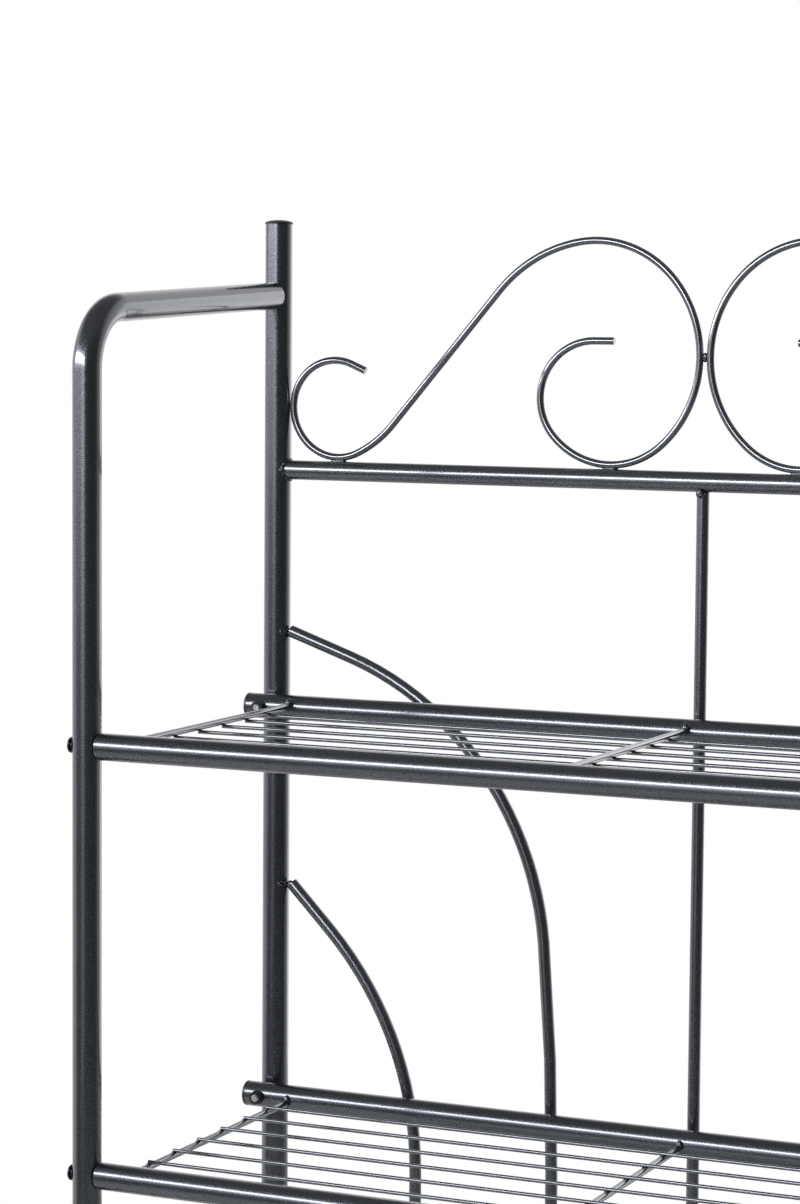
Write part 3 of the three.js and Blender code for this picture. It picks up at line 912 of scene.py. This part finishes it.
def wire_places(shelf, name):
    """X of each crosswire, Y of each long wire, and the heights of both"""
    low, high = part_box(f"{name}_wires")
    side = -1 if name == TOP_SHELF else 1
    outer_x = high.x - shelf.crosswire_radius
    middle_y = (low.y + high.y) / 2
    cross_z = SHELF_HEIGHTS[name] - side * shelf.crosswire_drop
    rise = shelf.crosswire_radius + shelf.long_radius - shelf.weld_depth
    cross = [
        outer_x * (2 * index / (shelf.crosswires - 1) - 1) for index in range(shelf.crosswires)
    ]
    long = [
        middle_y + (index - (shelf.long_wires - 1) / 2) * shelf.long_pitch
        for index in range(shelf.long_wires)
    ]
    return cross, long, cross_z, cross_z + side * rise


class RACK_OT_shelf_wires(RackOperator, bpy.types.Operator):
    """Draw the crosswires and long wires of each shelf"""

    bl_idname = "rack.shelf_wires"
    bl_label = "Shelf Wires"
    SIDES_OF_WIRE = 20
    EDGE = 0.0003

    def make(self, rack):
        shelf = rack.shelf
        front_y = LEG_Y + SHELF_TUBE_RADIUS
        rear_y = REAR_TUBE_Y - SHELF_TUBE_RADIUS
        for name in SHELVES:
            cross, long, cross_z, long_z = wire_places(shelf, name)
            reach = max(cross) + shelf.overhang
            wires = []
            for x in cross:
                start = (x, front_y, cross_z)
                stock = Stock(shelf.crosswire_radius, self.SIDES_OF_WIRE, start, BACK)
                wires.append(stock.to((x, rear_y, cross_z)).solid(self.EDGE))
            for y in long:
                start = (-reach, y, long_z)
                stock = Stock(shelf.long_radius, self.SIDES_OF_WIRE, start, ACROSS)
                wires.append(stock.to((reach, y, long_z)).solid(self.EDGE))
            stand_for(join(wires), f"{name}_wires", finish(wire_coating))


class RACK_OT_plastic(RackOperator, bpy.types.Operator):
    """Turn the post caps, the tube plugs and the feet"""

    bl_idname = "rack.plastic"
    bl_label = "Caps, Plugs and Feet"
    SIDES_OF_PIECE = 48

    def make(self, rack):
        self.caps(rack)
        self.plugs(rack)
        self.feet(rack)

    def caps(self, rack):
        low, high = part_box("post_cap_left")
        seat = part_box("rear_post_left")[1].z
        spigot = TUBE_RADIUS - rack.tube.wall
        face = domed((high.x - low.x) / 2, rack.fitting.cap_rim, high.z - seat)
        profile = [*face, (spigot, high.z - seat), (spigot, high.z - low.z)]
        left = turned(profile, self.SIDES_OF_PIECE, (POST.x, POST.y, high.z), -UP)
        right = copy_of(left, shift=ACROSS * 2 * HALF_SPACING)
        stand_for(left, "post_cap_left", finish(moulded_plastic))
        stand_for(right, "post_cap_right", finish(moulded_plastic))

    def plugs(self, rack):
        low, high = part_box(f"{LOWEST_SHELF}_plug_left")
        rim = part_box(f"{LOWEST_SHELF}_rear_tube")[0].x - low.x
        spigot = SHELF_TUBE_RADIUS - rack.tube.rail_wall
        face = chamfered(SHELF_TUBE_RADIUS, rack.fitting.plug_chamfer)
        profile = [*face, (SHELF_TUBE_RADIUS, rim), (spigot, rim), (spigot, high.x - low.x)]
        start = (low.x, REAR_TUBE_Y, SHELF_HEIGHTS[LOWEST_SHELF])
        left = turned(profile, self.SIDES_OF_PIECE, start, ACROSS)
        right = copy_of(left, scale=MIRRORED)
        for piece, side in ((left, "left"), (right, "right")):
            up_to_each_shelf(
                piece,
                lambda copy, name: stand_for(
                    copy, f"{name}_plug_{side}", finish(moulded_plastic)
                ),
            )

    def feet(self, rack):
        low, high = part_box("foot_rear_left")
        radius = (high.x - low.x) / 2
        spigot = TUBE_RADIUS - rack.tube.wall
        face = chamfered(radius, rack.fitting.foot_chamfer)
        profile = [*face, (radius, TUBE_START), (spigot, TUBE_START), (spigot, high.z)]
        foot = turned(profile, self.SIDES_OF_PIECE)
        for side, sign in SIDES.items():
            for row, y in (("front", LEG_Y), ("rear", POST.y)):
                copy = copy_of(foot, shift=(sign * HALF_SPACING, y, 0))
                stand_for(copy, f"foot_{row}_{side}", finish(moulded_plastic))
        bpy.data.objects.remove(foot)


class RACK_OT_bolts(RackOperator, bpy.types.Operator):
    """Turn the domed bolts with their washers and hex nuts"""

    bl_idname = "rack.bolts"
    bl_label = "Bolts and Nuts"
    SIDES_OF_BOLT = 32
    CHAMFER = 0.0008
    NUT_CHAMFER = 0.0007
    NUT_SIDES = 6

    def make(self, rack):
        fitting = rack.fitting
        shelf_z = SHELF_HEIGHTS[LOWEST_SHELF]
        low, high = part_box(f"{LOWEST_SHELF}_front_bolt_left")
        start = Vector((low.x, LEG_Y, shelf_z))
        seat = POST.x - TUBE_RADIUS
        left = self.bolt(fitting, start, ACROSS, seat - low.x, high.x - low.x)
        right = copy_of(left, scale=MIRRORED)
        for piece, side in ((left, "left"), (right, "right")):
            up_to_each_shelf(
                piece,
                lambda copy, name: stand_for(
                    copy, f"{name}_front_bolt_{side}", finish(blackened_steel)
                ),
            )
        low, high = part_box(f"{LOWEST_SHELF}_rear_bolt_left")
        start = Vector((POST.x, high.y, shelf_z))
        seat = high.y - POST.y - TUBE_RADIUS
        bolt = self.bolt(fitting, start, -BACK, seat, high.y - low.y)
        nut, washer = self.nut(fitting, low.y + fitting.tip, shelf_z)
        for piece in (nut, washer):
            piece.data.materials.append(finish(blackened_steel))
        left = join([bolt, nut, washer])
        right = copy_of(left, scale=MIRRORED)
        for piece, side in ((left, "left"), (right, "right")):
            up_to_each_shelf(
                piece,
                lambda copy, name: stand_for(
                    copy, f"{name}_rear_bolt_{side}", finish(blackened_steel)
                ),
            )

    def bolt(self, fitting, start, heading, seat, end):
        """A bolt from its crown to its tip, whose collar ends at the seat"""
        head_radius = extent(f"{LOWEST_SHELF}_rear_bolt_left").z / 2
        shank = fitting.shank_radius
        profile = [
            *domed(head_radius, fitting.head_rim, fitting.head_height),
            (fitting.collar_radius, fitting.head_height),
            (fitting.collar_radius, seat),
            (shank, seat),
            (shank, end - self.CHAMFER),
            (shank - self.CHAMFER, end),
        ]
        bolt = turned(profile, self.SIDES_OF_BOLT, start, heading)
        bolt.data.materials.append(finish(blackened_steel))
        bolt.data.materials.append(finish(bright_steel))

        def is_bright(face):
            """The cut tip, where the steel is bare"""
            return (face.center - start).dot(heading) > end - self.CHAMFER

        edit(bolt)
        select_faces(bolt, is_bright)
        bolt.active_material_index = 1
        bpy.ops.object.material_slot_assign()
        close_edit()
        return bolt

    def nut(self, fitting, front_y, z):
        """A hex nut with turned corners, and the washer behind it"""
        depth = REAR_TUBE_Y - SHELF_TUBE_RADIUS - front_y
        thickness = depth - fitting.nut_washer
        corner = fitting.nut_radius / math.cos(math.pi / self.NUT_SIDES)
        nut = ring(corner, self.NUT_SIDES, (POST.x, front_y, z), BACK)
        run = BACK * thickness
        bpy.ops.mesh.extrude_region_move(TRANSFORM_OT_translate={"value": run})
        close_ends()
        close_edit()
        room = corner * 1.02
        profile = [(fitting.nut_radius, 0), (room, self.NUT_CHAMFER), (room, thickness)]
        cutter = turned(profile, self.SIDES_OF_BOLT, (POST.x, front_y, z), BACK)
        cut(nut, cutter, "INTERSECT")
        radius = fitting.nut_washer_radius
        edge = fitting.nut_washer / 5
        profile = [
            (radius - edge, 0),
            (radius, edge),
            (radius, fitting.nut_washer - edge),
            (radius - edge, fitting.nut_washer),
        ]
        start = (POST.x, front_y + thickness, z)
        return nut, turned(profile, self.SIDES_OF_BOLT, start, BACK)


class RACK_OT_welds(RackOperator, bpy.types.Operator):
    """Lay the weld beads and spots that hold the frame and the wires together"""

    bl_idname = "rack.welds"
    bl_label = "Welds"
    SPOT_KINDS = 4
    BEAD_POINTS = 64
    BEAD_SIDES = 3

    def make(self, rack):
        self.kinds = [self.rough_spot(rack.weld, seed) for seed in range(self.SPOT_KINDS)]
        self.count = 0
        frame_welds = [*self.arm_and_rails(rack), *self.rods(rack)]
        self.both_sides(frame_welds, "welds_back_panel")
        self.centre_rod(rack.weld)
        path = ScrollPath(rack.scroll)
        feet = [self.spot(foot - UP * SCROLL_RADIUS, rack.weld.scroll_foot) for foot in path.feet]
        self.both_sides(feet, "welds_scroll_feet", tube_coating)
        between = self.spot((0, POST.y, path.side.z), rack.weld.scroll_middle)
        place_on_rack(between, "weld_between_scrolls", finish(weld_coating))
        for name in SHELVES:
            self.shelf(rack, name)
        for kind in self.kinds:
            bpy.data.objects.remove(kind)

    def rough_spot(self, weld, seed):
        """A weld spot of unit size with an uneven surface"""
        bpy.ops.object.select_all(action="DESELECT")
        bpy.ops.mesh.primitive_ico_sphere_add(subdivisions=3, radius=1)
        spot = bpy.context.object
        edit(spot)
        offset = weld.roughness / weld.rod_start[0]
        bpy.ops.transform.vertex_random(offset=offset, uniform=0.3, seed=seed)
        bpy.ops.mesh.vertices_smooth(factor=0.6, repeat=2)
        close_edit()
        smooth(spot, 80)
        return spot

    def spot(self, place, size, turn=(0, 0, 0)):
        """A copy of the next kind of spot, with these half sizes"""
        kind = self.kinds[self.count % self.SPOT_KINDS]
        self.count += 1
        return copy_of(kind, shift=place, scale=size, turn=turn)

    def both_sides(self, welds, name, maker=weld_coating):
        left = join(welds)
        right = copy_of(left, scale=MIRRORED)
        place_on_rack(join([left, right]), name, finish(maker))

    def bead_on(self, target, radius, place, thickness):
        """A bead around a rail, drawn onto the left post that the rail meets"""
        bead = ring(radius, self.BEAD_POINTS, place, -ACROSS)
        close_edit()
        bead.location = ACROSS * 4 * TUBE_RADIUS
        apply_place(bead)
        apply_modifier(
            bead,
            "SHRINKWRAP",
            target=target,
            wrap_method="PROJECT",
            use_project_x=True,
            use_negative_direction=True,
            use_positive_direction=True,
        )
        return self.thicken(bead, thickness)

    def thicken(self, bead, thickness):
        """Gives a ring of points the round section of a bead."""
        pick(bead)
        bpy.ops.object.convert(target="CURVE")
        bead = bpy.context.object
        bead.data.bevel_depth = thickness
        bead.data.bevel_resolution = self.BEAD_SIDES
        bpy.ops.object.convert(target="MESH")
        bead = bpy.context.object
        edit(bead)
        bpy.ops.mesh.remove_doubles(threshold=thickness / 50)
        face_outwards()
        close_edit()
        smooth(bead, 80)
        return bead

    def arm_and_rails(self, rack):
        weld = rack.weld
        post = bpy.data.objects["finished_rear_post_left"]
        end = arm_end(rack.tube)
        heading = (0, math.cos(rack.tube.arm_rise), math.sin(rack.tube.arm_rise))
        arm_bead = ring(TUBE_RADIUS - weld.bead, self.BEAD_POINTS, end, heading)
        close_edit()
        beads = [self.thicken(arm_bead, weld.bead), self.spot(end, weld.arm_end)]
        for z in (TOP_RAIL_Z, BOTTOM_RAIL_Z):
            place = (POST.x, POST.y, z)
            beads.append(self.bead_on(post, RAIL_RADIUS, place, weld.bead * 1.2))
            spot = POST + self.around_post(46) * TUBE_RADIUS
            beads.append(self.spot((spot.x, spot.y, z), weld.rail_spot, (0, 0, math.radians(46))))
        return beads

    def around_post(self, degrees):
        """Direction from the left post's axis, turned from the front towards the right"""
        turn = math.radians(degrees)
        return Vector((math.sin(turn), -math.cos(turn), 0))

    def rods(self, rack):
        weld = rack.weld
        rod = rack.rod
        spots = []
        for height, slope in (
            (rod.outer_start, rod.outer_slope),
            (rod.inner_start, rod.inner_slope),
        ):
            start = rod_start(height, slope)
            spots.append(self.spot(start + Vector((-0.0006, -0.0014, -0.0006)), weld.rod_end))
            for degrees in (45, 70):
                side = Vector((POST.x, POST.y, start.z)) + self.around_post(degrees) * TUBE_RADIUS
                spots.append(self.spot(side, weld.rod_start, (0, 0, math.radians(degrees))))
        for node in ("outer_rod_left", "inner_rod_left"):
            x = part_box(node)[1].x - ROD_RADIUS
            place = (x - 0.002, POST.y - 0.0036, BOTTOM_RAIL_Z + RAIL_RADIUS)
            spots.append(self.spot(place, weld.rod_end))
        return spots

    def centre_rod(self, weld):
        """One bead at each end of the centre rod, on its front towards the left"""
        reach = RAIL_RADIUS + 0.0006
        places = [(-0.0007, POST.y - 0.0042, z) for z in (TOP_RAIL_Z - reach, BOTTOM_RAIL_Z + reach)]
        beads = [self.spot(place, weld.centre_end) for place in places]
        place_on_rack(join(beads), "welds_centre_rod", finish(weld_coating))

    def shelf(self, rack, name):
        """The welds at the ends and crossings of the wires of one shelf"""
        cross, long, cross_z, long_z = wire_places(rack.shelf, name)
        front_y = LEG_Y + SHELF_TUBE_RADIUS
        rear_y = REAR_TUBE_Y - SHELF_TUBE_RADIUS
        spots = []
        for x in cross:
            for y in (front_y, rear_y):
                spots.append(self.spot((x, y, cross_z + 0.0012), rack.weld.wire_end))
            for y in long:
                z = (cross_z + long_z) / 2
                spots.append(self.spot((x, y, z), rack.weld.crossing))
        place_on_rack(join(spots), f"welds_{name}", finish(weld_coating))


class RACK_OT_stage(RackOperator, bpy.types.Operator):
    """Set up the floor, the lamps, the white background and the camera"""

    bl_idname = "rack.stage"
    bl_label = "Stage"

    def make(self, rack):
        self.floor(rack.stage)
        self.key_panel(rack.stage)
        self.world()
        self.lamp("rear_softbox", (0.7, 3.0, 1.3), (-0.2, 0, 1.2), (1.6, 2.4), 11)
        self.camera(rack.stage)
        bpy.context.scene.view_settings.view_transform = "Standard"

    def floor(self, stage):
        bpy.ops.object.select_all(action="DESELECT")
        bpy.ops.mesh.primitive_circle_add(vertices=96, radius=stage.floor_radius, fill_type="NGON")
        floor = bpy.context.object
        floor.name = "floor"
        material = bpy.data.materials.new("pale_floor")
        surface = Surface(material)
        x, y, _ = surface.coordinates()
        away = (x * x + y * y).math("SQRT", x * x + y * y)
        pale = surface.node("ShaderNodeBsdfDiffuse", None, {"Color": (0.72, 0.72, 0.72, 1)})
        white = surface.node("ShaderNodeEmission", None, {"Color": (1, 1, 1, 1), "Strength": 1})
        seen = surface.ray("Is Camera Ray").most(surface.ray("Is Transmission Ray"))
        share = away.between(0.45 * stage.floor_radius, 0.9 * stage.floor_radius) * seen
        sockets = {0: share, 1: pale.outputs[0], 2: white.outputs[0]}
        surface.end(surface.node("ShaderNodeMixShader", None, sockets))
        floor.data.materials.append(material)

    def key_panel(self, stage):
        """A large panel in front on the left, brightest at its top"""
        width, height = stage.key_size
        bpy.ops.object.select_all(action="DESELECT")
        bpy.ops.mesh.primitive_plane_add(size=1)
        panel = bpy.context.object
        panel.name = "key_panel"
        panel.scale = (width, height, 1)
        panel.rotation_euler = (math.pi / 2, 0, -stage.key_turn)
        panel.location = stage.key_place
        apply_place(panel)
        panel.visible_camera = False
        material = bpy.data.materials.new("panel_light")
        surface = Surface(material)
        x, _, z = surface.coordinates()
        wall_part = 0.15 + z.between(0.95, 1.35) * 0.8 - z.between(1.38, 1.5) * 0.2
        side_part = x.between(-1.15, -0.75) * (0.45 + z.between(0.75, 1.1) * 0.45)
        lamp_part = z.between(1.61, 1.77) * 12.5
        left_part = (0 - x).between(2.0, 2.9) * 0.85
        strength = (wall_part + side_part).most(left_part) + lamp_part
        sockets = {"Color": (1, 1, 1, 1), "Strength": strength}
        surface.end(surface.node("ShaderNodeEmission", None, sockets))
        panel.data.materials.append(material)

    def world(self):
        world = bpy.data.worlds.new("studio")
        bpy.context.scene.world = world
        surface = Surface(world)
        x, y, z = surface.coordinates("Generated")
        backdrop = y.between(0.1, 0.8).most((0 - x).between(0.72, 0.92))
        room = 0.1 + z.between(0.2, 0.9) * 0.12
        mirrored = room + backdrop * (1 - z.between(0.46, 0.76)) * 0.88
        seen = surface.ray("Is Camera Ray").most(surface.ray("Is Transmission Ray"))
        glossy = surface.ray("Is Glossy Ray")
        around = glossy * mirrored + (1 - glossy) * 0.4
        strength = seen + (1 - seen) * around
        sockets = {"Color": (1, 1, 1, 1), "Strength": strength}
        shader = surface.node("ShaderNodeBackground", None, sockets)
        surface.end(shader, "ShaderNodeOutputWorld")

    def lamp(self, name, place, aim, size, power):
        data = bpy.data.lights.new(name, "AREA")
        data.shape = "RECTANGLE"
        data.size, data.size_y = size
        data.energy = power
        lamp = bpy.data.objects.new(name, data)
        bpy.context.scene.collection.objects.link(lamp)
        lamp.location = place
        lamp.rotation_euler = (Vector(place) - Vector(aim)).to_track_quat("Z", "Y").to_euler()
        lamp.visible_camera = False

    def camera(self, stage):
        data = bpy.data.cameras.new("camera")
        data.sensor_fit = "VERTICAL"
        data.sensor_height = 36
        data.lens = stage.lens
        camera = bpy.data.objects.new("camera", data)
        bpy.context.scene.collection.objects.link(camera)
        turn = (
            Matrix.Rotation(stage.camera_yaw, 4, "Z")
            @ Matrix.Rotation(math.pi / 2 - stage.camera_pitch, 4, "X")
            @ Matrix.Rotation(stage.camera_roll, 4, "Z")
        )
        camera.matrix_world = Matrix.Translation(stage.camera_place) @ turn
        bpy.context.scene.camera = camera


OPERATORS = (
    RACK_OT_side_tubes,
    RACK_OT_rear_posts,
    RACK_OT_cross_rails,
    RACK_OT_rods,
    RACK_OT_scrolls,
    RACK_OT_shelf_tubes,
    RACK_OT_shelf_wires,
    RACK_OT_plastic,
    RACK_OT_bolts,
    RACK_OT_welds,
    RACK_OT_stage,
)


class RACK_PT_panel(bpy.types.Panel):
    """Lists the steps that make the rack"""

    bl_label = "Bakers Rack"
    bl_idname = "RACK_PT_panel"
    bl_space_type = "VIEW_3D"
    bl_region_type = "UI"
    bl_category = "Rack"

    def draw(self, context):
        for operator in OPERATORS:
            self.layout.operator(operator.bl_idname)


CLASSES = (
    TubeSettings,
    RodSettings,
    ScrollSettings,
    ShelfSettings,
    FittingSettings,
    WeldSettings,
    FinishSettings,
    StageSettings,
    RackSettings,
    *OPERATORS,
    RACK_PT_panel,
)


def register():
    for cls in CLASSES:
        bpy.utils.register_class(cls)
    bpy.types.Scene.bakers_rack = PointerProperty(type=RackSettings)


def unregister():
    del bpy.types.Scene.bakers_rack
    for cls in reversed(CLASSES):
        bpy.utils.unregister_class(cls)


def main():
    register()
    for operator in OPERATORS:
        group, name = operator.bl_idname.split(".")
        getattr(getattr(bpy.ops, group), name)()


if __name__ == "__main__":
    main()
